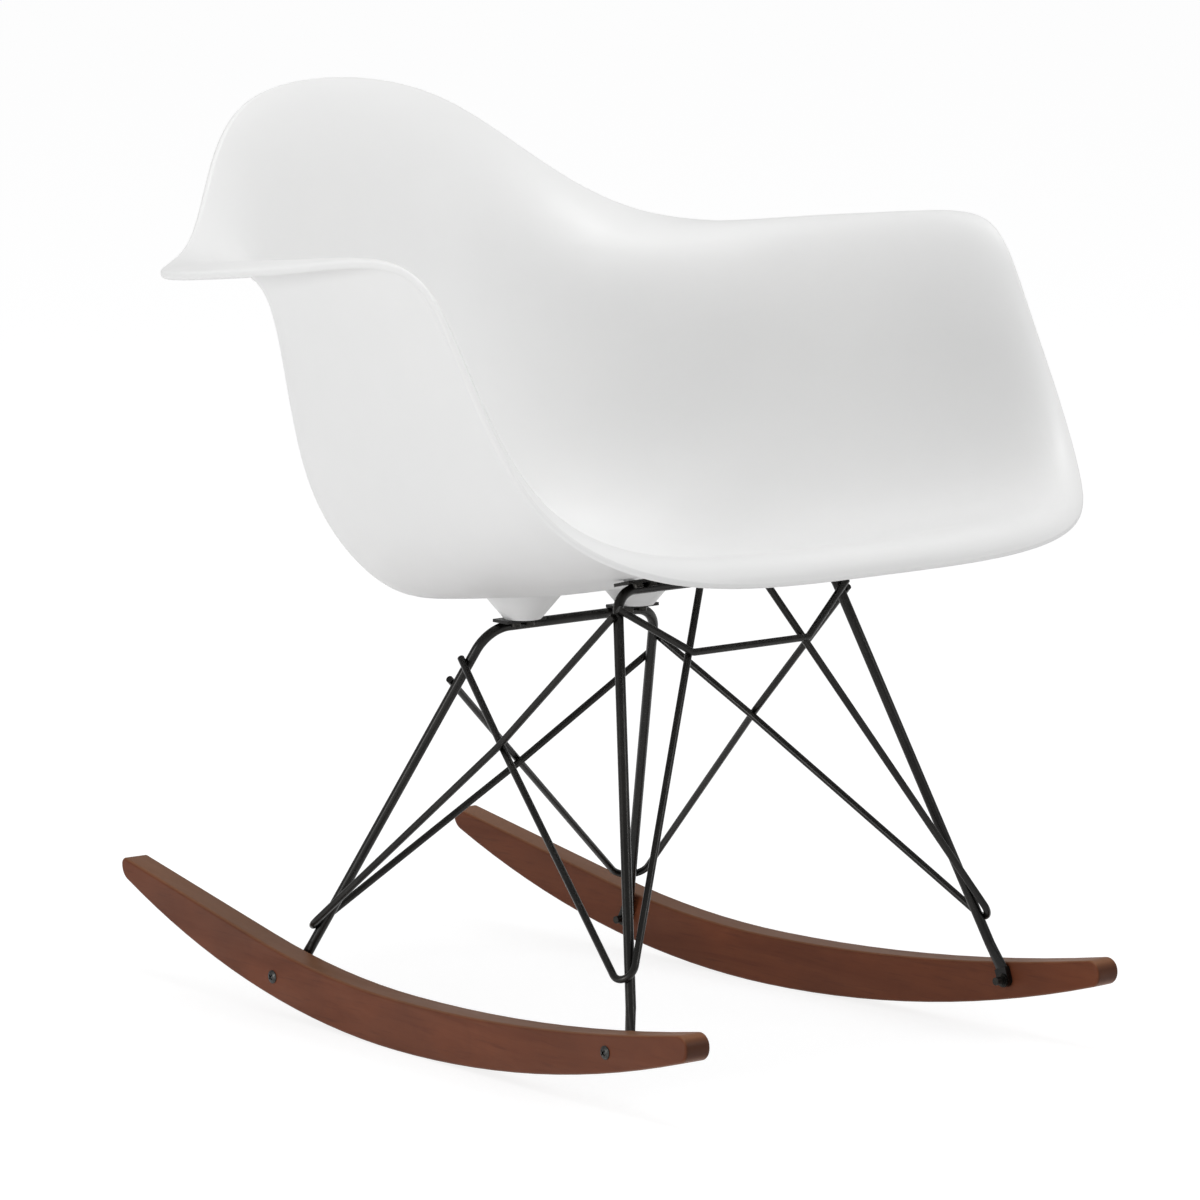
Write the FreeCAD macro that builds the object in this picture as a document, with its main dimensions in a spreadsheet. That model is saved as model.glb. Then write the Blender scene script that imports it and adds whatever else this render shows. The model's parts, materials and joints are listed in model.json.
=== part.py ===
import FreeCAD, Part
import Sketcher

import math
import os
import re

from FreeCAD import Placement, Rotation, Vector

# A moulded bucket armchair on a welded wire base that stands on two curved wooden runners.
# Millimetres. The floor is z = 0, the sitter faces -Y, and x = 0 is the plane of symmetry.
# Side is +1 for the +X side and -1 for the -X side.

SIZES = [
    ("shell_width", 627, "widest span of the arm rims"),
    ("shell_depth", 639, "front edge to back edge of the shell"),
    ("shell_height", 368, "seat pan to the top of the back"),
    ("shell_pan_height", 317, "floor to the lowest point of the seat"),
    ("shell_pan_back", 81, "lowest point of the seat, behind the middle"),
    ("shell_wall", 5, "moulded wall"),
    ("shell_lip", 6.5, "wall at the rolled rim"),
    ("boss_foot", 28, "diameter of a moulded boss at its mounting plate"),
    ("boss_flare_angle", 40, "degrees that a boss widens up to the shell"),
    ("heavy_wire", 7.6, "diameter of the two hoops"),
    ("light_wire", 5.4, "diameter of the braces"),
    ("weld_sink", 0.3, "how far welded wires melt into each other"),
    ("front_rail_half", 102.7, "middle to the corner of the front hoop"),
    ("front_rail_forward", 152.1, "front rail, ahead of the middle"),
    ("front_rail_gap", 7.3, "shell's underside over a front mount to the rail's axis"),
    ("front_rail_bend", 20, "bend radius of the front hoop"),
    ("rear_rail_half", 81.4, "middle to the corner of the rear hoop"),
    ("rear_rail_back", 19.4, "rear rail, behind the middle"),
    ("rear_rail_gap", 20.1, "shell's underside over a rear mount to the rail's axis"),
    ("rear_rail_bend", 26, "bend radius of the rear hoop"),
    ("front_knee_out", 0.5, "outward set of the front knees"),
    ("rear_knee_out", 2.4, "outward set of the rear knees"),
    ("knee_length", 20, "flattened taper between leg and lug"),
    ("lug_reach", 9, "bolt hole to the start of the taper"),
    ("lug_width", 11, "flattened wire end, across"),
    ("lug_thickness", 4.8, "flattened wire end, through"),
    ("front_brace_bend", 10, "bend at the bottom of a front brace"),
    ("front_brace_rise", 20, "front knee to the bottom of the brace"),
    ("front_brace_catch", 11, "rear bend to the front brace's weld"),
    ("front_brace_half", 28, "middle to the front brace's weld on the rail"),
    ("rear_brace_bend", 15, "bend at the bottom of a rear brace"),
    ("rear_brace_rise", 10.5, "rear knee to the bottom of the brace"),
    ("rear_brace_catch", 5.5, "front bend to the rear brace's weld"),
    ("rear_brace_far_catch", 31, "rear bend to the far rear brace's weld"),
    ("side_cross_bow", 3.8, "inward bow where side braces cross"),
    ("cross_bend", 120, "gentle bend of a brace at a crossing"),
    ("brace_end", 3.5, "brace beyond its weld on a leg"),
    ("rear_brace_end", 3, "rear brace beyond its weld on the front leg"),
    ("rail_end", 2, "brace beyond its weld on the front rail"),
    ("truss_drop", 47.3, "front rail to the truss bar"),
    ("truss_bend", 6, "bend radius of the truss bar"),
    ("truss_catch", 1, "front bend to the truss bar's weld"),
    ("truss_end", 4, "truss bar beyond its weld"),
    ("front_mount_half", 83, "middle to a front mounting plate"),
    ("rear_mount_half", 55, "middle to a rear mounting plate"),
    ("plate_length", 38, "mounting plate along its rail"),
    ("plate_width", 17, "mounting plate across its rail"),
    ("plate_thickness", 2.4, "mounting plate"),
    ("front_plate_tilt", 14, "degrees that a front plate rises to the front"),
    ("rear_plate_tilt", 0, "degrees that a rear plate rises to the front"),
    ("bolt_pitch", 13, "between the two bolts of a plate"),
    ("bolt_diameter", 5, "shell bolt thread"),
    ("bolt_head", 7.5, "shell bolt head across"),
    ("bolt_head_height", 3.2, "shell bolt head"),
    ("bolt_gap", 0.5, "bolt head to its rail"),
    ("hole_gap", 0.25, "radial clearance of bolts in plain holes"),
    ("insert_diameter", 7, "threaded insert"),
    ("insert_length", 4.2, "threaded insert"),
    ("runner_length", 702, "runner, tip to tip"),
    ("runner_thickness", 22, "runner"),
    ("runner_spacing", 341.8, "between the runners at mid length"),
    ("runner_toe_angle", 2.79, "degrees that each runner turns in to the rear"),
    ("runner_low_forward", 7, "lowest point of a runner, ahead of its middle"),
    ("runner_depth", 38.3, "runner at its lowest point"),
    ("front_under_radius", 1181, "underside, front"),
    ("rear_under_radius", 871, "underside, rear"),
    ("nose_height", 19.5, "front end of a runner, before rounding"),
    ("tail_height", 14.5, "rear end of a runner, before rounding"),
    ("rear_top_arc", 181, "curved part of the rear top, before it runs straight"),
    ("nose_round", 9.6, "front end, top and bottom"),
    ("tail_top_round", 4.8, "rear end, top"),
    ("tail_under_round", 12.5, "rear end, bottom"),
    ("edge_round", 2.2, "long edges of a runner"),
    ("front_screw_forward", 259.9, "front foot screw, ahead of the runner's middle"),
    ("rear_screw_back", 147.5, "rear foot screw, behind the runner's middle"),
    ("front_screw_rise", 15.2, "front foot screw above the underside"),
    ("rear_screw_rise", 15.9, "rear foot screw above the underside"),
    ("screw_diameter", 4, "foot screw"),
    ("screw_head", 10, "foot screw head across"),
    ("screw_head_height", 2.4, "foot screw head"),
    ("screw_dome", 8, "sphere radius of the domed head"),
    ("recess_width", 1.1, "cross recess, slot width"),
    ("recess_span", 5.2, "cross recess, slot length"),
    ("recess_depth", 1.5, "cross recess"),
    ("washer_diameter", 10, "foot washer"),
    ("washer_thickness", 1, "foot washer"),
    ("nut_flange", 8, "cap nut flange across"),
    ("nut_flange_height", 1.2, "cap nut flange"),
    ("nut_barrel", 5.9, "cap nut barrel across"),
    ("nut_barrel_height", 5.5, "cap nut barrel"),
    ("nut_grip", 5.5, "screw thread inside the cap nut"),
]

# Control points of the inner face of the bucket as drawn: millimetres from the plane of symmetry,
# behind the drawing's middle and above the floor. Each station runs outwards: edge of the pan,
# low wall, high wall, roll of the rim, rim. The stations go from the middle of the front edge
# round the arm to the middle of the back.
STATIONS = [
    [(0, -120, 348), (0, -220, 369), (0, -300, 388), (0, -345, 391), (0, -344, 368)],
    [(75, -120, 348), (108, -220, 369), (120, -300, 389), (124, -345, 392), (124, -345, 368)],
    [(120, -105, 348), (170, -200, 371), (198, -278, 393), (207, -325, 400), (211, -335, 381)],
    [(145, -80, 347), (200, -155, 378), (231, -229, 410), (244, -272, 427), (254, -285, 410)],
    [(155, -45, 341), (212, -105, 390), (243, -181, 446), (257, -230, 482), (270.5, -244.5, 463)],
    [(160, -10, 335), (214, -60, 400), (248, -122, 495), (259, -181, 554), (272.5, -200, 541)],
    [(160, 20, 330), (213, -20, 400), (251, -80, 530), (263, -133, 602), (279, -164, 603)],
    [(150, 52, 333), (209, 16, 399), (250, -24, 540), (267, -48, 600), (306, -60, 584)],
    [(133, 84, 340), (196, 66, 399), (232, 44, 535), (253, 40, 593), (320, 50, 573)],
    [(108, 108, 343), (160, 119, 399), (187, 104, 530), (211, 106, 581), (299, 124, 567)],
    [(84, 126, 341), (124, 152, 398), (147, 158, 525), (167, 165, 570), (217, 179, 572)],
    [(56, 142, 334), (87, 171, 396), (112, 200, 515), (139, 219, 600), (160, 234, 620)],
    [(28, 154, 333), (47, 184, 396), (70, 226, 530), (92, 255, 652), (100, 281, 678)],
    [(0, 158, 333), (0, 188, 396), (0, 233, 540), (0, 267, 667), (0, 297, 691)],
]
DRAWN_LOW = Vector(0, 60, 317)
DRAWN_SPAN = Vector(627, 639, 368)
PAN_RINGS = (0.05, 0.22)
PAN_MIDDLE = 0.6
PAN_MIDDLE_RISE = 0.35
DEGREE = 3

UP = Vector(0, 0, 1)
RIGHT = Vector(1, 0, 0)
FORWARD = Vector(0, -1, 0)
SIDES = ((1, "right"), (-1, "left"))
TINY = 1e-6

document = FreeCAD.newDocument("rocking_armchair")
sheet = document.addObject("Spreadsheet::Sheet", "Sizes")
for row, (alias, value, meaning) in enumerate(SIZES, start=1):
    sheet.set(f"A{row}", meaning)
    sheet.set(f"B{row}", str(value))
    sheet.setAlias(f"B{row}", alias)
document.recompute()

pieces = []


def size(alias):
    return float(sheet.get(alias))


def bind(feature, **expressions):
    for name, expression in expressions.items():
        feature.setExpression(name, expression)
    return feature


def cell(text):
    """Turn a formula of aliases into one that reads the sheet."""
    known = {alias for alias, _, _ in SIZES}
    return re.sub("[a-z_]+", lambda word: f"Sizes.{word[0]}" if word[0] in known else word[0], text)


def make(kind, name, placement=None, **formulas):
    feature = document.addObject(kind, name)
    if placement is not None:
        feature.Placement = placement
    return bind(feature, **{key: cell(text) for key, text in formulas.items()})


def keep(feature, label):
    feature.Label = label
    pieces.append(feature)
    return feature


def fused(name, shapes):
    feature = document.addObject("Part::MultiFuse", name)
    feature.Shapes = shapes
    return feature


def cut(name, base, tool):
    feature = document.addObject("Part::Cut", name)
    feature.Base = base
    feature.Tool = tool
    return feature


def unit(vector):
    return Vector(vector).normalize()


def frame_at(origin, z_axis, x_axis=RIGHT):
    """Placement with its z along z_axis and its x as near x_axis as it can be."""
    z_axis = unit(z_axis)
    y_axis = unit(z_axis.cross(x_axis))
    return Placement(origin, Rotation(y_axis.cross(z_axis), y_axis, z_axis, "ZXY"))


# Runners

def under_height(along):
    """Height of a runner's underside at a distance along it."""
    reach = along + size("runner_low_forward")
    radius = size("front_under_radius") if reach < 0 else size("rear_under_radius")
    return radius - math.sqrt(radius * radius - reach * reach)


def runner_axes(side):
    """The directions along a runner, to the rear, and square to it, outwards."""
    toe = math.radians(size("runner_toe_angle"))
    along = Vector(-side * math.sin(toe), math.cos(toe), 0)
    outward = Vector(side * math.cos(toe), math.sin(toe), 0)
    return along, outward


def runner_point(side, along, height, outward=0.0):
    """A point by its distance along the runner, its height and its distance from mid-thickness."""
    along_axis, outward_axis = runner_axes(side)
    middle = Vector(side * (size("runner_spacing") + size("runner_thickness")) / 2, 0, 0)
    return middle + along_axis * along + outward_axis * outward + UP * height


def screw_place(end):
    """Distance along the runner and height of a foot screw."""
    along = -size("front_screw_forward") if end == "front" else size("rear_screw_back")
    return along, under_height(along) + size(f"{end}_screw_rise")


def rear_top_radius(run, rise):
    """Radius of the arc that, with a straight run after it, rises by this much."""
    arc = size("rear_top_arc")
    half_slope = 0
    for _ in range(30):
        half_slope = rise / (arc + 2 * (run - arc) / (1 - half_slope ** 2))
    return arc / math.sin(2 * math.atan(half_slope))


def runner_outline():
    """The edges of a runner seen from the side: y along it, z up."""
    half = size("runner_length") / 2
    low = -size("runner_low_forward")
    depth = size("runner_depth")

    def arc(radius, base, start, end):
        """Arc that is level at the low point, from one distance along the runner to another."""
        centre = Vector(low, base + radius, 0)

        def at(along):
            return centre - Vector(0, math.sqrt(radius * radius - (along - low) ** 2), 0) + \
                Vector(along - low, 0, 0)
        return Part.Arc(at(start), at((start + end) / 2), at(end)), at(start), at(end)

    front_under, nose_low, _ = arc(size("front_under_radius"), 0, -half, low)
    rear_under, _, tail_low = arc(size("rear_under_radius"), 0, low, half)
    nose_rise = nose_low.y + size("nose_height") - depth
    front_top_radius = ((half + low) ** 2 + nose_rise ** 2) / (2 * nose_rise)
    front_top, nose_high, _ = arc(front_top_radius, depth, -half, low)
    tail_high = tail_low + Vector(0, size("tail_height"), 0)
    bend = low + size("rear_top_arc")
    rear_top, _, bend_point = arc(rear_top_radius(half - low, tail_high.y - depth), depth, low, bend)
    return [
        front_under,
        rear_under,
        Part.LineSegment(tail_low, tail_high),
        Part.LineSegment(tail_high, bend_point),
        rear_top,
        front_top,
        Part.LineSegment(nose_high, nose_low),
    ]


def origin_plane(body, role):
    return next(item for item in body.Origin.OriginFeatures if item.Role == role)


def sketch_on(body, name, role):
    sketch = body.newObject("Sketcher::SketchObject", name)
    sketch.AttachmentSupport = [(origin_plane(body, role), "")]
    sketch.MapMode = "FlatFace"
    return sketch


def edges_where(shape, test):
    return [f"Edge{number}" for number, edge in enumerate(shape.Edges, start=1) if test(edge)]


def crosswise(edge):
    """True for an edge that runs straight through the runner's thickness."""
    low, high = edge.BoundBox.YLength, edge.BoundBox.ZLength
    return low < TINY and high < TINY


def runner(side, side_name):
    body = document.addObject("PartDesign::Body", f"Runner{side_name.title()}")
    sketch = sketch_on(body, "Outline", "YZ_Plane")
    sketch.addGeometry(runner_outline())
    pad = body.newObject("PartDesign::Pad", "Board")
    pad.Profile = sketch
    pad.SideType = "Symmetric"
    bind(pad, Length=cell("runner_thickness"))
    document.recompute()

    half = size("runner_length") / 2
    middle = {}
    for end, sign in (("nose", -1), ("tail", 1)):
        corners = [edge for edge in pad.Shape.Edges
                   if crosswise(edge) and abs(edge.BoundBox.YMin - sign * half) < TINY]
        middle[end] = sum(edge.BoundBox.ZMin for edge in corners) / len(corners)

    def rounded(name, base, radius, test):
        feature = body.newObject("PartDesign::Fillet", name)
        feature.Base = (base, edges_where(base.Shape, test))
        bind(feature, Radius=cell(radius))
        document.recompute()
        return feature

    nose = rounded("Nose", pad, "min(nose_round; nose_height * 0.495)",
                   lambda edge: crosswise(edge) and edge.BoundBox.YMin < -half + TINY)
    tail = rounded("TailTop", nose, "min(tail_top_round; tail_height * 0.34)",
                   lambda edge: crosswise(edge) and edge.BoundBox.YMin > half - TINY
                   and edge.BoundBox.ZMin > middle["tail"])
    tail = rounded("TailUnder", tail, "min(tail_under_round; tail_height * 0.87)",
                   lambda edge: crosswise(edge) and edge.BoundBox.YMin > half - TINY
                   and edge.BoundBox.ZMin < middle["tail"])
    face = size("runner_thickness") / 2
    board = rounded("LongEdges", tail, "edge_round",
                    lambda edge: edge.BoundBox.XLength < TINY and abs(abs(edge.BoundBox.XMin) - face) < TINY)

    holes = sketch_on(body, "HolePlaces", "YZ_Plane")
    radius = size("screw_diameter") / 2 + size("hole_gap")
    for number, end in enumerate(("front", "rear")):
        along, height = screw_place(end)
        holes.addGeometry(Part.Circle(Vector(along, height, 0), UP, radius))
        place = holes.addConstraint(Sketcher.Constraint("Radius", number, radius))
        holes.setExpression(f"Constraints[{place}]", cell("screw_diameter / 2 + hole_gap"))
    pocket = body.newObject("PartDesign::Pocket", "ScrewHoles")
    pocket.BaseFeature = board
    pocket.Profile = holes
    pocket.SideType = "Symmetric"
    pocket.Type = "ThroughAll"
    document.recompute()
    body.Tip = pocket
    body.Placement = Placement(runner_point(side, 0, 0), Rotation(UP, side * size("runner_toe_angle")))
    keep(body, f"runner_{side_name}")


# Wires

def wire_path(points, bends):
    """Straight runs joined by arcs that are tangent to them, one bend for each inner point."""
    edges = []
    start = points[0]
    for before, corner, after, radius in zip(points, points[1:], points[2:], bends):
        back, ahead = unit(before - corner), unit(after - corner)
        half = back.getAngle(ahead) / 2
        reach = radius / math.tan(half)
        middle = corner + unit(back + ahead) * (radius / math.sin(half) - radius)
        entry, leave = corner + back * reach, corner + ahead * reach
        edges.append(Part.LineSegment(start, entry).toShape())
        edges.append(Part.Arc(entry, middle, leave).toShape())
        start = leave
    edges.append(Part.LineSegment(start, points[-1]).toShape())
    return Part.Wire(edges)


def wire(name, points, bends, diameter):
    """A round wire along a path."""
    path = document.addObject("Part::Feature", f"{name}Path")
    path.Shape = wire_path(points, bends)
    section = make("Part::Circle", f"{name}Section", frame_at(points[0], points[1] - points[0], UP),
                   Radius=f"{diameter} / 2")
    sweep = document.addObject("Part::Sweep", name)
    sweep.Sections = [section]
    sweep.Spine = (path, [f"Edge{number + 1}" for number in range(len(path.Shape.Edges))])
    sweep.Solid = True
    return sweep


def bend_reach(corner, first, second, radius):
    """From a corner to where its bend ends."""
    half = (first - corner).getAngle(second - corner) / 2
    return radius / math.tan(half)


class Hoop:
    """A heavy wire: a level rail with a straight leg down to a flattened lug at each runner."""

    def __init__(self, end, bucket):
        self.end = end
        self.bend = size(f"{end}_rail_bend")
        back, height = bucket.rail_place(end)
        self.along, self.hole_height = screw_place(end)
        lug_depth = -(size("runner_thickness") + size("lug_thickness")) / 2
        self.corner, self.hole, self.knee, self.taper_end = {}, {}, {}, {}
        for side, _ in SIDES:
            self.corner[side] = Vector(side * size(f"{end}_rail_half"), back, height)
            self.hole[side] = runner_point(side, self.along, self.hole_height, lug_depth)
            up = unit(self.corner[side] - self.hole[side])
            outward = runner_axes(side)[1]
            self.knee[side] = (self.hole[side] + up * (size("lug_reach") + size("knee_length"))
                               + outward * size(f"{end}_knee_out"))
            flat = up - outward * up.dot(outward)
            self.taper_end[side] = self.hole[side] + unit(flat) * size("lug_reach")

    def leg_down(self, side):
        return unit(self.knee[side] - self.corner[side])

    def below_bend(self, side, distance):
        """A point of the leg's axis, measured down from the end of the bend."""
        reach = bend_reach(self.corner[side], self.corner[-side], self.knee[side], self.bend)
        return self.corner[side] + self.leg_down(side) * (reach + distance)

    def above_knee(self, side, distance):
        return self.knee[side] - self.leg_down(side) * distance

    def lug(self, side, side_name):
        """The flattened end: a taper from round to flat, and a lug with a bolt hole."""
        name = f"{self.end.title()}Foot{side_name.title()}"
        outward = runner_axes(side)[1]
        up = unit(self.taper_end[side] - self.hole[side])
        leg = self.leg_down(side)
        round_end = make("Part::Ellipse", f"{name}Round", frame_at(self.knee[side], -leg, up.cross(outward)),
                         MajorRadius="heavy_wire / 2", MinorRadius="heavy_wire / 2")
        flat_end = make("Part::Ellipse", f"{name}Flat", frame_at(self.taper_end[side], up, up.cross(outward)),
                        MajorRadius="lug_width / 2", MinorRadius="lug_thickness / 2")
        taper = document.addObject("Part::Loft", f"{name}Taper")
        taper.Sections = [round_end, flat_end]
        taper.Solid = True
        thickness = size("lug_thickness")
        face = self.hole[side] - outward * thickness / 2
        end = make("Part::Cylinder", f"{name}End", frame_at(face, outward),
                   Radius="lug_width / 2", Height="lug_thickness")
        across = unit(outward.cross(up))
        blade = make("Part::Box", f"{name}Blade",
                     Placement(face - across * size("lug_width") / 2, Rotation(across, outward, up, "ZXY")),
                     Length="lug_width", Width="lug_thickness", Height="lug_reach")
        bore = make("Part::Cylinder", f"{name}Bore",
                    frame_at(self.hole[side] - outward * thickness, outward),
                    Radius="screw_diameter / 2 + hole_gap", Height="lug_thickness * 2")
        return [taper, end, blade], bore

    def build(self):
        name = f"{self.end.title()}Hoop"
        points = [self.knee[1], self.corner[1], self.corner[-1], self.knee[-1]]
        solids, bores = [wire(name + "Wire", points, [self.bend] * 2, "heavy_wire")], []
        for side, side_name in SIDES:
            foot, bore = self.lug(side, side_name)
            solids += foot
            bores.append(bore)
        keep(cut(name, fused(name + "Whole", solids), fused(name + "Bores", bores)), f"{self.end}_hoop")


def beside(point, along, rod, gap, hint):
    """Where a rod's axis passes a wire's axis at the gap, on the side of the hint."""
    square = along.cross(rod)
    if square.dot(hint) < 0:
        square = -square
    return point + unit(square) * gap


def weld_gap(first, second):
    """Between the axes of two wires that are welded where they touch."""
    return (size(first) + size(second)) / 2 - size("weld_sink")


def nearest(point, along, other, other_along):
    """The two nearest points of two lines."""
    square = along.cross(other_along)
    span = other - point
    first = point + along * (span.cross(other_along).dot(square) / square.dot(square))
    second = other + other_along * (span.cross(along).dot(square) / square.dot(square))
    return first, second


def brace_bottom(touch, leg, hint, bend, first, second):
    """The corner under a brace's bend, so that the middle of the bend lies beside a leg."""
    corner = touch
    for _ in range(12):
        to_first, to_second = unit(first - corner), unit(second - corner)
        half = to_first.getAngle(to_second) / 2
        low = beside(touch, leg, to_first - to_second, weld_gap("heavy_wire", "light_wire"), hint)
        corner = low - unit(to_first + to_second) * (bend / math.sin(half) - bend)
    return corner


class Braces:
    """The light wires on one side: a front brace and a rear brace that cross."""

    def __init__(self, side, front, rear):
        self.side = side
        out = RIGHT * side
        back = -FORWARD
        leg_gap = weld_gap("heavy_wire", "light_wire")
        wire_gap = size("light_wire") - size("weld_sink")
        front_touch = front.above_knee(side, size("front_brace_rise"))
        rear_touch = rear.above_knee(side, size("rear_brace_rise"))
        front_weld = rear.below_bend(side, size("front_brace_catch"))
        rear_weld = front.below_bend(side, size("rear_brace_catch"))
        far_weld = rear.below_bend(-side, size("rear_brace_far_catch"))
        rail_weld = Vector(side * size("front_brace_half"), front.corner[side].y, front.corner[side].z)

        front_top, rear_top, far_top, rail_top = front_weld, rear_weld, far_weld, rail_weld
        front_low, rear_low = front_touch, rear_touch
        for _ in range(20):
            front_line, rear_line = front_top - front_low, rear_top - rear_low
            on_front, on_rear = nearest(front_low, front_line, rear_low, rear_line)
            square = unit(front_line.cross(rear_line))
            if square.dot(out) < 0:
                square = -square
            meeting = (on_front + on_rear) * 0.5 - square * size("side_cross_bow")
            front_cross = meeting - square * wire_gap / 2
            rear_cross = meeting + square * wire_gap / 2

            far_line = far_top - rear_low
            at_middle = rear_low - far_line * (rear_low.x / far_line.x)
            over = unit(far_line.cross(Vector(-far_line.x, far_line.y, far_line.z))) * side
            if over.dot(back) < 0:
                over = -over
            back_cross = at_middle + over * (side * wire_gap / 2)

            front_top = beside(front_weld, rear.leg_down(side), front_top - front_cross, leg_gap, out)
            rear_top = beside(rear_weld, front.leg_down(side), rear_top - rear_cross, leg_gap, out)
            far_top = beside(far_weld, rear.leg_down(-side), far_top - back_cross, leg_gap, back)
            rail_top = beside(rail_weld, RIGHT, rail_top - front_low, leg_gap, FORWARD)
            front_low = brace_bottom(front_touch, front.leg_down(side), out + FORWARD,
                                     size("front_brace_bend"), front_cross, rail_top)
            rear_low = brace_bottom(rear_touch, rear.leg_down(side), out + back,
                                    size("rear_brace_bend"), rear_cross, back_cross)

        self.rail_low, self.rail_top = front_low, rail_top
        end, rail_end = size("brace_end"), size("rail_end")
        self.front_points = [
            front_top + unit(front_top - front_cross) * end,
            front_cross,
            front_low,
            rail_top + unit(rail_top - front_low) * rail_end,
        ]
        self.rear_points = [
            rear_top + unit(rear_top - rear_cross) * size("rear_brace_end"),
            rear_cross,
            rear_low,
            back_cross,
            far_top + unit(far_top - back_cross) * end,
        ]

    def build(self, side_name):
        gentle = size("cross_bend")
        front = wire(f"FrontBrace{side_name.title()}", self.front_points,
                     [gentle, size("front_brace_bend")], "light_wire")
        keep(front, f"front_v_brace_{side_name}")
        rear = wire(f"RearBrace{side_name.title()}", self.rear_points,
                    [gentle, size("rear_brace_bend"), gentle], "light_wire")
        keep(rear, f"rear_v_brace_{side_name}")


def truss_bar(front, braces):
    """The bar under the front rail: level in the middle, and up to the front legs."""
    wire_gap = size("light_wire") - size("weld_sink")
    leg_gap = weld_gap("heavy_wire", "light_wire")
    ends, corners = {}, {}
    for side, _ in SIDES:
        low, top = braces[side].rail_low, braces[side].rail_top
        height = front.corner[side].z - size("truss_drop")
        crossing = low + (top - low) * ((height - low.z) / (top.z - low.z))
        corners[side] = beside(crossing, top - low, RIGHT, wire_gap, FORWARD)
        touch = front.below_bend(side, size("truss_catch"))
        ends[side] = touch
        for _ in range(8):
            ends[side] = beside(touch, front.leg_down(side), ends[side] - corners[side], leg_gap, FORWARD)
        ends[side] += unit(ends[side] - corners[side]) * size("truss_end")
    points = [ends[1], corners[1], corners[-1], ends[-1]]
    keep(wire("TrussBar", points, [size("truss_bend")] * 2, "light_wire"), "front_truss_bar")


# Seat shell

def net_column(station, side):
    """One column of the shell's control net, from the middle of the pan outwards."""
    centre = Vector(0, size("shell_pan_back"), size("shell_pan_height"))
    wide = side * size("shell_width") / DRAWN_SPAN.x
    deep = size("shell_depth") / DRAWN_SPAN.y
    high = size("shell_height") / DRAWN_SPAN.z

    def placed(drawn):
        point = Vector(*drawn) - DRAWN_LOW
        return centre + Vector(point.x * wide, point.y * deep, point.z * high)

    edge = placed(station[0])
    flat = Vector(edge.x, edge.y, centre.z) - centre
    rings = [centre + unit(flat) * size("shell_width") / 2 * share / 2 for share in PAN_RINGS]
    middle = centre + flat * PAN_MIDDLE + UP * (edge.z - centre.z) * PAN_MIDDLE_RISE
    wall = [placed(share) for share in station[1:]]
    wall[-1] -= unit(wall[-1] - wall[-2]) * size("shell_lip") / 2
    return rings + [middle, edge] + wall


def control_net():
    """Columns all round the shell: the left half from front to back, then the right."""
    left = [net_column(station, -1) for station in STATIONS]
    right = [net_column(station, 1) for station in reversed(STATIONS[1:-1])]
    return left + right


def end_knots(count):
    """Knots and multiplicities of a curve that starts and ends on its end points."""
    spans = count - DEGREE
    return [float(knot) for knot in range(spans + 1)], [DEGREE + 1] + [1] * (spans - 1) + [DEGREE + 1]


def outward_curve(points):
    knots, multiplicities = end_knots(len(points))
    curve = Part.BSplineCurve()
    curve.buildFromPolesMultsKnots(points, multiplicities, knots, False, DEGREE)
    return curve


def shifted_net(net, depths):
    """The control net moved square to the surface, by a depth for each ring."""
    count = len(net)
    rings = len(net[0])
    knots, multiplicities = end_knots(rings)
    spread = [knot for knot, times in zip(knots, multiplicities) for _ in range(times)]
    moved = []
    for number, column in enumerate(net):
        before, after = net[number - 1], net[(number + 1) % count]
        smooth = outward_curve([(a + b * 4 + c) * (1 / 6) for a, b, c in zip(before, column, after)])
        around = outward_curve([c - a for a, c in zip(before, after)])
        line = []
        for ring in range(rings):
            place = sum(spread[ring + 1:ring + 1 + DEGREE]) / DEGREE
            out = smooth.tangent(min(max(place, TINY), knots[-1] - TINY))[0]
            square = unit(out.cross(around.value(place)))
            line.append(column[ring] + square * depths[ring])
        moved.append(line)
    return moved


def half_surfaces(net):
    """The left and the right half of a surface that closes on itself all round."""
    count = len(net)
    u_knots = [float(knot) for knot in range(count + 1)]
    v_knots, v_multiplicities = end_knots(len(net[0]))
    front = count / 2 - 1
    halves = []
    for start in (front, front + count / 2):
        surface = Part.BSplineSurface()
        surface.buildFromPolesMultsKnots(net, [1] * len(u_knots), v_multiplicities, u_knots, v_knots,
                                         True, False, DEGREE, DEGREE)
        surface.segment(start, start + count / 2, v_knots[0], v_knots[-1])
        halves.append(surface)
    return halves


def cap(halves):
    """The level disc inside two halves of a surface."""
    return Part.Face(Part.Wire([half.vIso(0.0).toShape() for half in halves]))


def closed_solid(surfaces, caps):
    shell = Part.Shell([surface.toShape() for surface in surfaces] + caps)
    shell.sewShape()
    solid = Part.Solid(Part.Shell(shell.Faces))
    if solid.Volume < 0:
        solid.reverse()
    return solid


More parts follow.
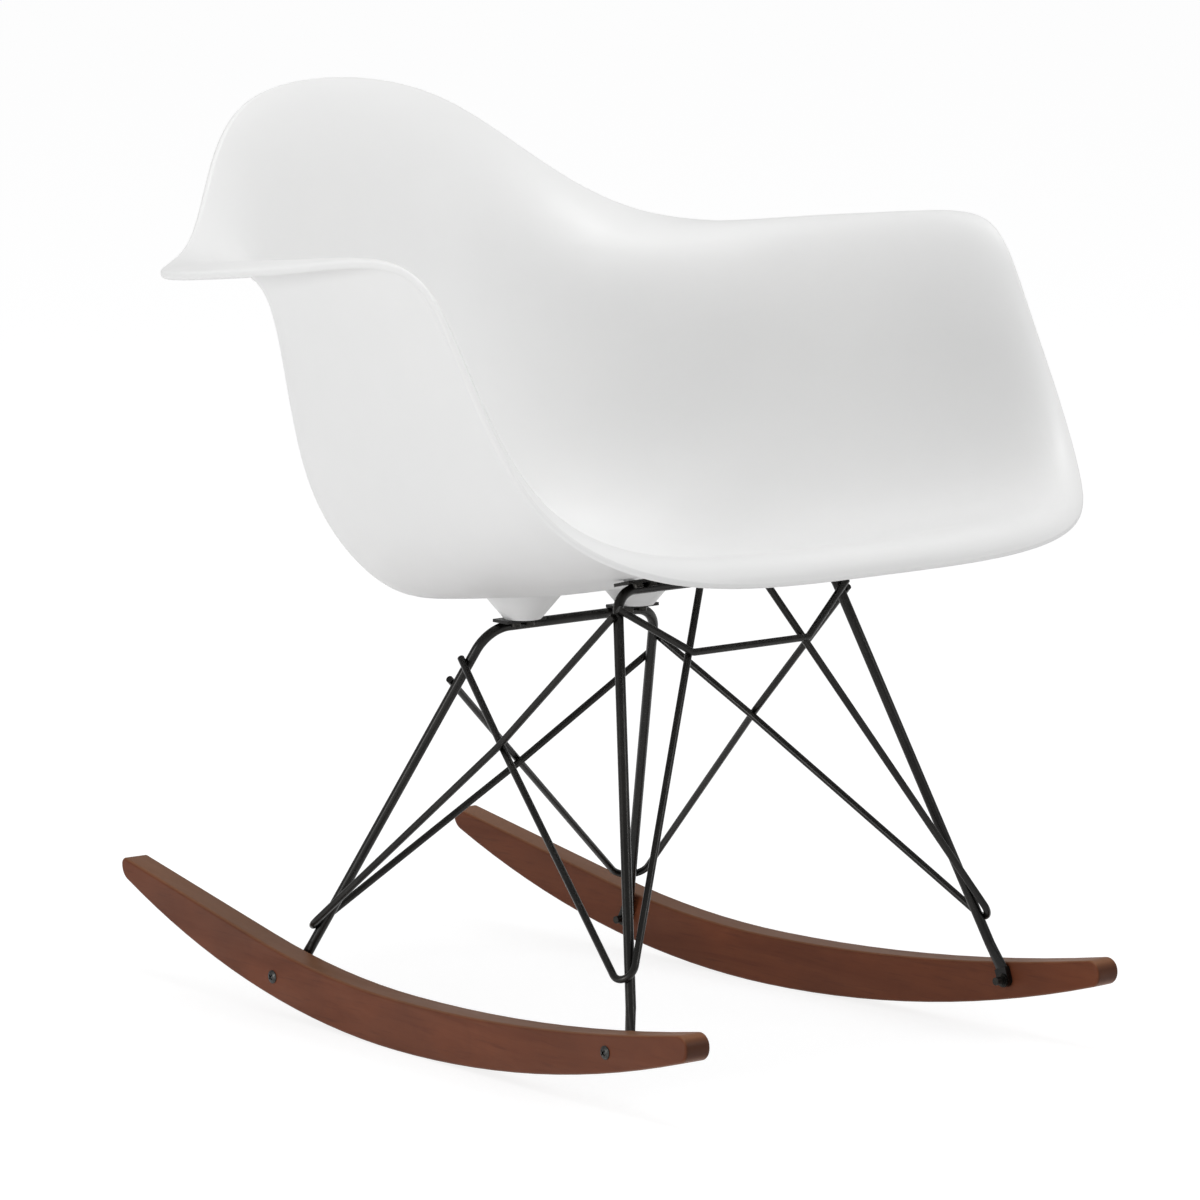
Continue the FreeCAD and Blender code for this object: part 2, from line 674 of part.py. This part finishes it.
class Bucket:
    """The control nets of the moulded wall."""

    def __init__(self):
        rings = len(STATIONS[0]) + len(PAN_RINGS) + 1
        wall, lip = size("shell_wall"), size("shell_lip")
        self.inner = control_net()
        self.outer = shifted_net(self.inner, [wall] * (rings - 2) + [(wall + lip) / 2, lip])
        self.outer_halves = half_surfaces(self.outer)

    def solid(self):
        """The wall, with a half-round lip."""
        rim = []
        for inside, outside in zip(self.inner, self.outer):
            over = unit((inside[-1] - inside[-2]) + (outside[-1] - outside[-2])) * (size("shell_lip") * 2 / 3)
            rim.append([inside[-1], inside[-1] + over, outside[-1] + over, outside[-1]])
        inner_halves = half_surfaces(self.inner)
        surfaces = inner_halves + self.outer_halves + half_surfaces(rim)
        return closed_solid(surfaces, [cap(inner_halves), cap(self.outer_halves)])

    def meeting(self, start, direction):
        """Where a line from below meets the outer face, and the way into the wall there."""
        line = Part.makeLine(start, start + direction * size("shell_pan_height") * 2)
        faces = [half.toShape() for half in self.outer_halves]
        face = min(faces, key=lambda half: half.distToShape(line)[0])
        place = face.distToShape(line)[1][0][0]
        inward = face.normalAt(*face.Surface.parameter(place))
        return place, inward if inward.dot(direction) > 0 else -inward

    def rail_place(self, end):
        """Distance behind the middle and height of a rail's axis."""
        back = -size("front_rail_forward") if end == "front" else size("rear_rail_back")
        seat, _ = self.meeting(Vector(size(f"{end}_mount_half"), back, 0), UP)
        return back, seat.z - size(f"{end}_rail_gap")


class Mount:
    """A plate welded on a rail, and the moulded boss, inserts and bolts that it carries.

    Its own frame has its origin on the rail's axis, x to the right and z square to the plate.
    """

    def __init__(self, end, side, side_name, bucket):
        self.name = f"{end.title()}Mount{side_name.title()}"
        self.label = f"{end}_{side_name}"
        self.bucket = bucket
        origin = Vector(side * size(f"{end}_mount_half"), *bucket.rail_place(end))
        self.frame = Placement(origin, Rotation(RIGHT, -size(f"{end}_plate_tilt")))
        self.bottom = size("heavy_wire") / 2 - size("weld_sink")
        self.top = self.bottom + size("plate_thickness")
        self.bolt_forward = (size("heavy_wire") + size("bolt_head")) / 2 + size("bolt_gap")

    def at(self, height, right=0.0, forward=None):
        """A place by its height over the rail's axis; forward is the bolts' row if left out."""
        forward = self.bolt_forward if forward is None else forward
        return self.frame.multiply(Placement(Vector(right, -forward, height), Rotation()))

    def bolt_places(self):
        return enumerate((-size("bolt_pitch") / 2, size("bolt_pitch") / 2))

    def plate(self):
        front_edge = size("plate_width") - size("heavy_wire") / 2
        blank = make("Part::Box", f"{self.name}Blank",
                     self.at(self.bottom, -size("plate_length") / 2, front_edge),
                     Length="plate_length", Width="plate_width", Height="plate_thickness")
        holes = [make("Part::Cylinder", f"{self.name}Hole{number}", self.at(self.bottom - 1, right),
                      Radius="bolt_diameter / 2 + hole_gap", Height="plate_thickness + 2")
                 for number, right in self.bolt_places()]
        keep(cut(f"{self.name}Plate", blank, fused(f"{self.name}Holes", holes)),
             f"mount_plate_{self.label}")

    def boss(self):
        """A cone that widens from the plate up to the middle of the shell's wall."""
        foot = self.at(self.top)
        place, inward = self.bucket.meeting(foot.Base, foot.Rotation.multVec(UP))
        height = (place - foot.Base).Length + size("boss_foot")
        cone = make("Part::Cone", f"{self.name}Cone", foot, Radius1="boss_foot / 2")
        cone.Height = height
        cone.Radius2 = size("boss_foot") / 2 + height * math.tan(math.radians(size("boss_flare_angle")))
        middle = frame_at(place + inward * size("shell_wall") / 2, inward)
        corner = middle.multVec(Vector(-1, -1, 0) * size("boss_foot") * 3)
        above = make("Part::Box", f"{self.name}Above", Placement(corner, middle.Rotation),
                     Length="boss_foot * 6", Width="boss_foot * 6", Height="boss_foot * 3")
        return cut(f"{self.name}Boss", cone, above)

    def insert_bores(self):
        return [make("Part::Cylinder", f"{self.name}Bore{number}", self.at(self.top - 1, right),
                     Radius="insert_diameter / 2", Height="insert_length + 1")
                for number, right in self.bolt_places()]

    def inserts(self):
        rings = []
        for number, right in self.bolt_places():
            body = make("Part::Cylinder", f"{self.name}Insert{number}", self.at(self.top, right),
                        Radius="insert_diameter / 2", Height="insert_length")
            thread = make("Part::Cylinder", f"{self.name}Thread{number}", self.at(self.top - 1, right),
                          Radius="bolt_diameter / 2", Height="insert_length + 2")
            rings.append(cut(f"{self.name}Ring{number}", body, thread))
        group = document.addObject("Part::Compound", f"{self.name}Inserts")
        group.Links = rings
        keep(group, f"threaded_inserts_{self.label}")

    def bolts(self):
        made = []
        under = self.bottom - size("bolt_head_height")
        for number, right in self.bolt_places():
            head = make("Part::Cylinder", f"{self.name}Head{number}", self.at(under, right),
                        Radius="bolt_head / 2", Height="bolt_head_height")
            socket = make("Part::Prism", f"{self.name}Socket{number}", self.at(under - 1, right),
                          Circumradius="bolt_head / 4", Height="bolt_head_height / 2 + 1")
            socket.Polygon = 6
            shank = make("Part::Cylinder", f"{self.name}Shank{number}", self.at(self.bottom, right),
                         Radius="bolt_diameter / 2", Height="plate_thickness + insert_length")
            solid = fused(f"{self.name}Solid{number}", [head, shank])
            made.append(cut(f"{self.name}Bolt{number}", solid, socket))
        group = document.addObject("Part::Compound", f"{self.name}Bolts")
        group.Links = made
        keep(group, f"shell_bolts_{self.label}")


def seat_shell(bucket, mounts):
    wall = document.addObject("Part::Feature", "ShellWall")
    wall.Shape = bucket.solid()
    whole = fused("ShellWithBosses", [wall] + [mount.boss() for mount in mounts])
    bores = fused("InsertBores", [bore for mount in mounts for bore in mount.insert_bores()])
    keep(cut("SeatShell", whole, bores), "seat_shell")


# Feet

def foot_fasteners(end, side, side_name):
    """Screw, washer and cap nut. Their own z runs outwards from the runner's mid-thickness."""
    name = f"{end.title()}Foot{side_name.title()}"
    label = f"{end}_{side_name}"
    outward = runner_axes(side)[1]
    along, height = screw_place(end)
    middle = runner_point(side, along, height)
    face = size("runner_thickness") / 2
    lug_face = -face - size("lug_thickness")
    washer_face = lug_face - size("washer_thickness")

    def at(distance, direction=outward):
        return frame_at(middle + outward * distance, direction, UP)

    grip = size("nut_grip")
    shank = make("Part::Cylinder", f"{name}Shank", at(washer_face - grip), Radius="screw_diameter / 2",
                 Height="runner_thickness + lug_thickness + washer_thickness + nut_grip")
    disc = make("Part::Cylinder", f"{name}Disc", at(face), Radius="screw_head / 2", Height="screw_head_height")
    dome = make("Part::Sphere", f"{name}Dome", at(face + size("screw_head_height") - size("screw_dome")),
                Radius="screw_dome")
    head = document.addObject("Part::Common", f"{name}Head")
    head.Base = disc
    head.Tool = dome
    slots = []
    slot_floor = middle + outward * (face + size("screw_head_height") - size("recess_depth"))
    for number, turn in enumerate((45, 135)):
        rotation = frame_at(slot_floor, outward, UP).Rotation.multiply(Rotation(UP, turn))
        shift = Vector(-size("recess_span") / 2, -size("recess_width") / 2, 0)
        slots.append(make("Part::Box", f"{name}Slot{number}",
                          Placement(slot_floor + rotation.multVec(shift), rotation),
                          Length="recess_span", Width="recess_width", Height="recess_depth + 1"))
    keep(cut(f"{name}Screw", fused(f"{name}ScrewSolid", [shank, head]), fused(f"{name}Recess", slots)),
         f"foot_screw_{label}")

    ring = make("Part::Cylinder", f"{name}Ring", at(washer_face), Radius="washer_diameter / 2",
                Height="washer_thickness")
    eye = make("Part::Cylinder", f"{name}Eye", at(washer_face - 1), Radius="screw_diameter / 2 + hole_gap",
               Height="washer_thickness + 2")
    keep(cut(f"{name}Washer", ring, eye), f"foot_washer_{label}")

    inward = -outward
    flange = make("Part::Cylinder", f"{name}Flange", at(washer_face, inward), Radius="nut_flange / 2",
                  Height="nut_flange_height")
    barrel = make("Part::Cylinder", f"{name}Barrel", at(washer_face, inward), Radius="nut_barrel / 2",
                  Height="nut_flange_height + nut_barrel_height")
    thread = make("Part::Cylinder", f"{name}Thread", at(washer_face + 1, inward), Radius="screw_diameter / 2",
                  Height="nut_grip + 1")
    blank = fused(f"{name}NutBlank", [flange, barrel])
    keep(cut(f"{name}Nut", blank, thread), f"cap_nut_{label}")


def build():
    bucket = Bucket()
    front, rear = Hoop("front", bucket), Hoop("rear", bucket)
    braces = {side: Braces(side, front, rear) for side, _ in SIDES}
    mounts = [Mount(end, side, side_name, bucket) for end in ("front", "rear") for side, side_name in SIDES]
    for side, side_name in SIDES:
        runner(side, side_name)
        braces[side].build(side_name)
        for end in ("front", "rear"):
            foot_fasteners(end, side, side_name)
    front.build()
    rear.build()
    truss_bar(front, braces)
    for mount in mounts:
        mount.plate()
        mount.inserts()
        mount.bolts()
    seat_shell(bucket, mounts)
    document.recompute()


def check_and_write():
    for feature in document.Objects:
        bad = [word for word in feature.State if word in ("Invalid", "Error")]
        if bad:
            raise RuntimeError(f"{feature.Name}: {bad}")
    for piece in pieces:
        if piece.Shape.isNull() or not piece.Shape.isValid() or not piece.Shape.Solids:
            raise RuntimeError(f"{piece.Label}: the shape is not a valid solid")
    os.makedirs("parts", exist_ok=True)
    for piece in pieces:
        piece.Shape.exportStep(os.path.join("parts", f"{piece.Label}.step"))


build()
check_and_write()
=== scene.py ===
import json
import math

import bpy
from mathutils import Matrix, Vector

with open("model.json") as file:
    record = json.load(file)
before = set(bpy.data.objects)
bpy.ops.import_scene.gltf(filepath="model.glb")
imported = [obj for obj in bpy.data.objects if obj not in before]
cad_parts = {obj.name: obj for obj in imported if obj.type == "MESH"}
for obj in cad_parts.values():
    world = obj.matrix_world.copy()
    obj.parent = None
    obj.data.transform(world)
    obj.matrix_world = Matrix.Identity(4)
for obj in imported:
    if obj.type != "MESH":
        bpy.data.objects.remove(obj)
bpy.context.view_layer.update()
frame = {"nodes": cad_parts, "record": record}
nodes = frame["nodes"]

# The photograph's view: a long lens from the front left, a little above the arms.
SENSOR_WIDTH = 36
PHOTO_WIDTH = 1200
FOCAL_LENGTH_IN_PIXELS = 6684.09
CAMERA_TARGET = Vector((0, -0.01231, 0.31527))
CAMERA_DISTANCE = 4.96273
CAMERA_AZIMUTH = math.radians(-40.45)
CAMERA_ELEVATION = math.radians(8.54)
CAMERA_REACH = 100

# Each soft lamp's place, the point that it aims at, its diameter in metres and its power in watts.
LAMPS = {
    "top": ((-0.1, -0.4, 3.8), (0, 0, 0.4), 2.0, 52),
    "front": ((1.7, -3.6, 2.5), (0, 0, 0.5), 1.6, 30),
    "side": ((-3.2, 0.3, 0.6), (0, 0, 0.35), 1.1, 28),
}
WORLD_LIGHT = 0.5
WORLD_SEEN = 1.0

FLOOR_WIDTH = 80
FLOOR_COLOUR = (0.8, 0.8, 0.8, 1)
FLOOR_SHADOW_COLOUR = (0.3, 0.3, 0.303, 1)
FLOOR_GLOW = 0.83

# Colours of each surface, from its darkest to its lightest.
PLASTIC_WHITES = (0.815, 0.817, 0.815), (0.84, 0.84, 0.836)
WIRE_BLACKS = (0.004, 0.0038, 0.0034), (0.016, 0.0145, 0.0125)
SCREW_GREYS = (0.035, 0.035, 0.034), (0.085, 0.085, 0.082)
NUT_GREYS = (0.02, 0.019, 0.0175), (0.05, 0.048, 0.044)
BRASS_YELLOWS = (0.42, 0.28, 0.1), (0.62, 0.44, 0.18)
WOOD_GRAIN = [
    (0.25, (0.12, 0.032, 0.0125)),
    (0.5, (0.172, 0.048, 0.019)),
    (0.78, (0.215, 0.066, 0.028)),
]
WOOD_CLOUD = (0.092, 0.03, 0.0145)
WOOD_BLOTCH = (0.085, 0.024, 0.011)
WOOD_PORE = (0.05, 0.016, 0.008)
# Lighter brown painted onto faces turned up or down: painted light standing in for light from
# above, not the wood's own colour.
WOOD_PAINTED_TOP_LIGHT = (0.24, 0.115, 0.058)
WOOD_END = (0.045, 0.017, 0.008)


class Nodes:
    """A node tree with short calls for the nodes that it needs."""

    def __init__(self, tree):
        self.tree = tree

    def node(self, kind, **values):
        """A new node, with its settings and its unlinked inputs given by name."""
        made = self.tree.nodes.new(kind)
        for name, value in values.items():
            if hasattr(made, name):
                setattr(made, name, value)
            else:
                made.inputs[name].default_value = value
        return made

    def link(self, source, target):
        self.tree.links.new(source, target)

    def calculate(self, operation, *sources):
        made = self.node("ShaderNodeMath", operation=operation)
        for source, socket in zip(sources, made.inputs):
            self.link(source, socket)
        return made.outputs[0]


class Material(Nodes):
    """A surface with noise, colours and bump on one principled shader."""

    def __init__(self, name, **sockets):
        self.material = bpy.data.materials.new(name)
        self.material.use_nodes = True
        super().__init__(self.material.node_tree)
        self.shader = self.tree.nodes["Principled BSDF"]
        for socket, value in sockets.items():
            self.shader.inputs[socket.replace("_", " ")].default_value = value

    def place(self, stretch):
        """Object coordinates, stretched."""
        coordinates = self.node("ShaderNodeTexCoord")
        mapping = self.node("ShaderNodeMapping", Scale=stretch)
        self.link(coordinates.outputs["Object"], mapping.inputs["Vector"])
        return mapping.outputs["Vector"]

    def noise(self, scale, detail, roughness=0.55, distortion=0.0, stretch=(1, 1, 1)):
        made = self.node(
            "ShaderNodeTexNoise",
            Scale=scale,
            Detail=detail,
            Roughness=roughness,
            Distortion=distortion,
        )
        self.link(self.place(stretch), made.inputs["Vector"])
        return made.outputs["Fac"]

    def ramp(self, factor, stops):
        made = self.node("ShaderNodeValToRGB")
        elements = made.color_ramp.elements
        while len(elements) < len(stops):
            elements.new(0.5)
        for element, (position, colour) in zip(elements, stops):
            element.position = position
            element.color = (*colour, 1)
        self.link(factor, made.inputs["Fac"])
        return made.outputs["Color"]

    def span(self, factor, low, high, source=(0.3, 0.7)):
        """The factor's usual range spread over low to high."""
        made = self.node("ShaderNodeMapRange")
        made.inputs["From Min"].default_value, made.inputs["From Max"].default_value = source
        made.inputs["To Min"].default_value, made.inputs["To Max"].default_value = low, high
        self.link(factor, made.inputs["Value"])
        return made.outputs["Result"]

    def mix(self, first, second, factor):
        """The first colour turning into the second as the factor goes from 0 to 1."""
        made = self.node("ShaderNodeMix", data_type="RGBA")
        colours = [socket for socket in made.inputs if socket.type == "RGBA"]
        self.link(factor, made.inputs["Factor"])
        for socket, colour in zip(colours, (first, second)):
            if isinstance(colour, tuple):
                socket.default_value = (*colour, 1)
            else:
                self.link(colour, socket)
        return made.outputs[2]

    def bump(self, height, strength, distance, normal=None):
        made = self.node("ShaderNodeBump", Strength=strength, Distance=distance)
        self.link(height, made.inputs["Height"])
        if normal is not None:
            self.link(normal, made.inputs["Normal"])
        return made.outputs["Normal"]

    def facing(self, axis):
        """How far a face turns towards plus or minus an axis of the object, 0 to 1."""
        coordinates = self.node("ShaderNodeTexCoord")
        parts = self.node("ShaderNodeSeparateXYZ")
        self.link(coordinates.outputs["Normal"], parts.inputs[0])
        return self.calculate("ABSOLUTE", parts.outputs[axis])

    def set(self, socket, source):
        self.link(source, self.shader.inputs[socket])


def shell_plastic():
    """White satin plastic with a fine moulded grain."""
    made = Material("moulded_plastic", IOR=1.49)
    cloud = made.noise(scale=5, detail=2)
    smear = made.noise(scale=38, detail=5)
    pebble = made.noise(scale=1400, detail=2)
    made.set("Base Color", made.mix(*PLASTIC_WHITES, made.span(cloud, low=0, high=1)))
    made.set("Roughness", made.span(smear, low=0.42, high=0.54))
    made.set("Normal", made.bump(pebble, strength=0.12, distance=0.00012))
    return made.material


def wire_coating():
    """Black powder coating, slightly streaked along the legs."""
    made = Material("black_steel", Metallic=0.5, IOR=1.5)
    streak = made.noise(scale=55, detail=4, stretch=(1, 1, 0.12))
    smear = made.noise(scale=240, detail=5)
    powder = made.noise(scale=2600, detail=3)
    made.set("Base Color", made.mix(*WIRE_BLACKS, made.span(streak, low=0, high=1)))
    made.set("Roughness", made.span(smear, low=0.24, high=0.38))
    made.set("Normal", made.bump(powder, strength=0.1, distance=0.0001))
    return made.material


def stained_wood():
    """Red-brown stained hardwood, its grain and pores along the runner, with painted light making
    the faces turned up or down lighter.
    """
    made = Material("stained_wood", IOR=1.5, Specular_IOR_Level=0.15)
    cloud = made.noise(scale=11, detail=3, stretch=(1, 0.6, 1))
    blotch = made.noise(scale=26, detail=4, roughness=0.6, distortion=0.6, stretch=(1, 0.7, 1))
    grain = made.noise(scale=34, detail=8, roughness=0.62, distortion=1.1, stretch=(1, 0.1, 1))
    pore = made.noise(scale=520, detail=3, roughness=0.5, stretch=(1, 0.035, 1))

    colour = made.ramp(grain, WOOD_GRAIN)
    colour = made.mix(colour, WOOD_CLOUD, made.span(cloud, low=0.75, high=0))
    colour = made.mix(colour, WOOD_BLOTCH, made.span(blotch, low=0, high=0.3, source=(0.5, 0.7)))
    colour = made.mix(colour, WOOD_PORE, made.span(pore, low=0, high=0.28, source=(0.56, 0.72)))
    # Painted light: faces turned up or down are mixed towards a lighter brown, as if lit from
    # above.
    top = made.span(made.facing("Z"), low=0, high=0.7, source=(0.35, 0.95))
    end = made.span(made.facing("Y"), low=0, high=0.75, source=(0.55, 0.95))
    colour = made.mix(made.mix(colour, WOOD_PAINTED_TOP_LIGHT, top), WOOD_END, end)

    relief = made.bump(grain, strength=0.06, distance=0.0006)
    made.set("Base Color", colour)
    made.set("Roughness", made.span(grain, low=0.5, high=0.36))
    made.set("Normal", made.bump(pore, strength=0.1, distance=0.0002, normal=relief))
    return made.material


def turned_metal(name, shades, roughness):
    """Bare metal with fine turning marks, a little rougher in places."""
    made = Material(name, Metallic=1.0)
    turning = made.noise(scale=900, detail=4, stretch=(0.2, 1, 1))
    smear = made.noise(scale=400, detail=4)
    made.set("Base Color", made.mix(*shades, made.span(turning, low=0, high=1)))
    made.set("Roughness", made.span(smear, low=roughness - 0.06, high=roughness + 0.08))
    made.set("Normal", made.bump(turning, strength=0.08, distance=0.0001))
    return made.material


def dress():
    """Each solid's material, by the slot that the record gives it."""
    looks = {
        "shell_plastic": shell_plastic(),
        "black_steel": wire_coating(),
        "runner_wood": stained_wood(),
        "grey_fastener": turned_metal("screw_steel", SCREW_GREYS, roughness=0.44),
        "dark_fastener": turned_metal("dark_steel", NUT_GREYS, roughness=0.4),
        "insert_brass": turned_metal("brass", BRASS_YELLOWS, roughness=0.34),
    }
    for part in frame["record"]["subparts"]:
        node = nodes[part["node"]]
        for holder in node.material_slots:
            holder.material = looks[part["material_slot"]]
        for polygon in node.data.polygons:
            polygon.use_smooth = True


class Backdrop(Nodes):
    """A tree that shows one shader to some kinds of ray and another to the rest."""

    def __init__(self, tree, output):
        super().__init__(tree)
        tree.nodes.clear()
        self.output = self.node(output)

    def rays(self, *kinds):
        """1 for rays of the given kinds, 0 for others."""
        path = self.node("ShaderNodeLightPath")
        first, *others = [path.outputs[f"Is {kind} Ray"] for kind in kinds]
        for other in others:
            first = self.calculate("MAXIMUM", first, other)
        return first

    def show(self, plain, seen, rays):
        choice = self.node("ShaderNodeMixShader")
        for source, socket in zip((rays, plain.outputs[0], seen), choice.inputs):
            self.link(source, socket)
        self.link(choice.outputs[0], self.output.inputs["Surface"])


def add_floor():
    """A pale floor that is white to the camera where nothing shades it."""
    bpy.ops.mesh.primitive_plane_add(size=FLOOR_WIDTH, location=(0, 0, 0))
    floor = bpy.context.object
    floor.name = "floor"
    material = bpy.data.materials.new("studio_floor")
    material.use_nodes = True
    backdrop = Backdrop(material.node_tree, "ShaderNodeOutputMaterial")
    plain = backdrop.node("ShaderNodeBsdfDiffuse", Color=FLOOR_COLOUR)
    catching = backdrop.node("ShaderNodeBsdfDiffuse", Color=FLOOR_SHADOW_COLOUR)
    glow = backdrop.node("ShaderNodeEmission", Strength=FLOOR_GLOW)
    seen = backdrop.node("ShaderNodeAddShader")
    backdrop.link(catching.outputs[0], seen.inputs[0])
    backdrop.link(glow.outputs[0], seen.inputs[1])
    backdrop.show(plain, seen.outputs[0], backdrop.rays("Camera", "Transmission", "Glossy"))
    floor.data.materials.append(material)


def add_world():
    world = bpy.data.worlds.new("studio")
    bpy.context.scene.world = world
    world.use_nodes = True
    backdrop = Backdrop(world.node_tree, "ShaderNodeOutputWorld")
    lit = backdrop.node("ShaderNodeBackground", Color=(1, 1, 1, 1), Strength=WORLD_LIGHT)
    white = backdrop.node("ShaderNodeBackground", Color=(1, 1, 1, 1), Strength=WORLD_SEEN)
    backdrop.show(lit, white.outputs[0], backdrop.rays("Camera", "Transmission"))


def turned_to(direction):
    """Rotation that points an object's own +Z along the direction."""
    return direction.to_track_quat("Z", "Y").to_euler()


def add_to_scene(name, data, place, direction):
    made = bpy.data.objects.new(name, data)
    made.location = place
    made.rotation_euler = turned_to(direction)
    bpy.context.scene.collection.objects.link(made)
    return made


def add_camera():
    data = bpy.data.cameras.new("camera")
    data.sensor_width = SENSOR_WIDTH
    data.lens = FOCAL_LENGTH_IN_PIXELS / PHOTO_WIDTH * SENSOR_WIDTH
    data.clip_end = CAMERA_REACH
    back = Vector((
        math.sin(CAMERA_AZIMUTH) * math.cos(CAMERA_ELEVATION),
        -math.cos(CAMERA_AZIMUTH) * math.cos(CAMERA_ELEVATION),
        math.sin(CAMERA_ELEVATION),
    ))
    camera = add_to_scene("camera", data, CAMERA_TARGET + back * CAMERA_DISTANCE, back)
    bpy.context.scene.camera = camera


def add_lights():
    for name, (place, aim, diameter, power) in LAMPS.items():
        data = bpy.data.lights.new(name, "AREA")
        data.shape = "DISK"
        data.size = diameter
        data.energy = power
        add_to_scene(name, data, place, Vector(place) - Vector(aim))


bpy.context.scene.view_settings.view_transform = "Standard"
add_camera()
add_world()
add_floor()
add_lights()
dress()
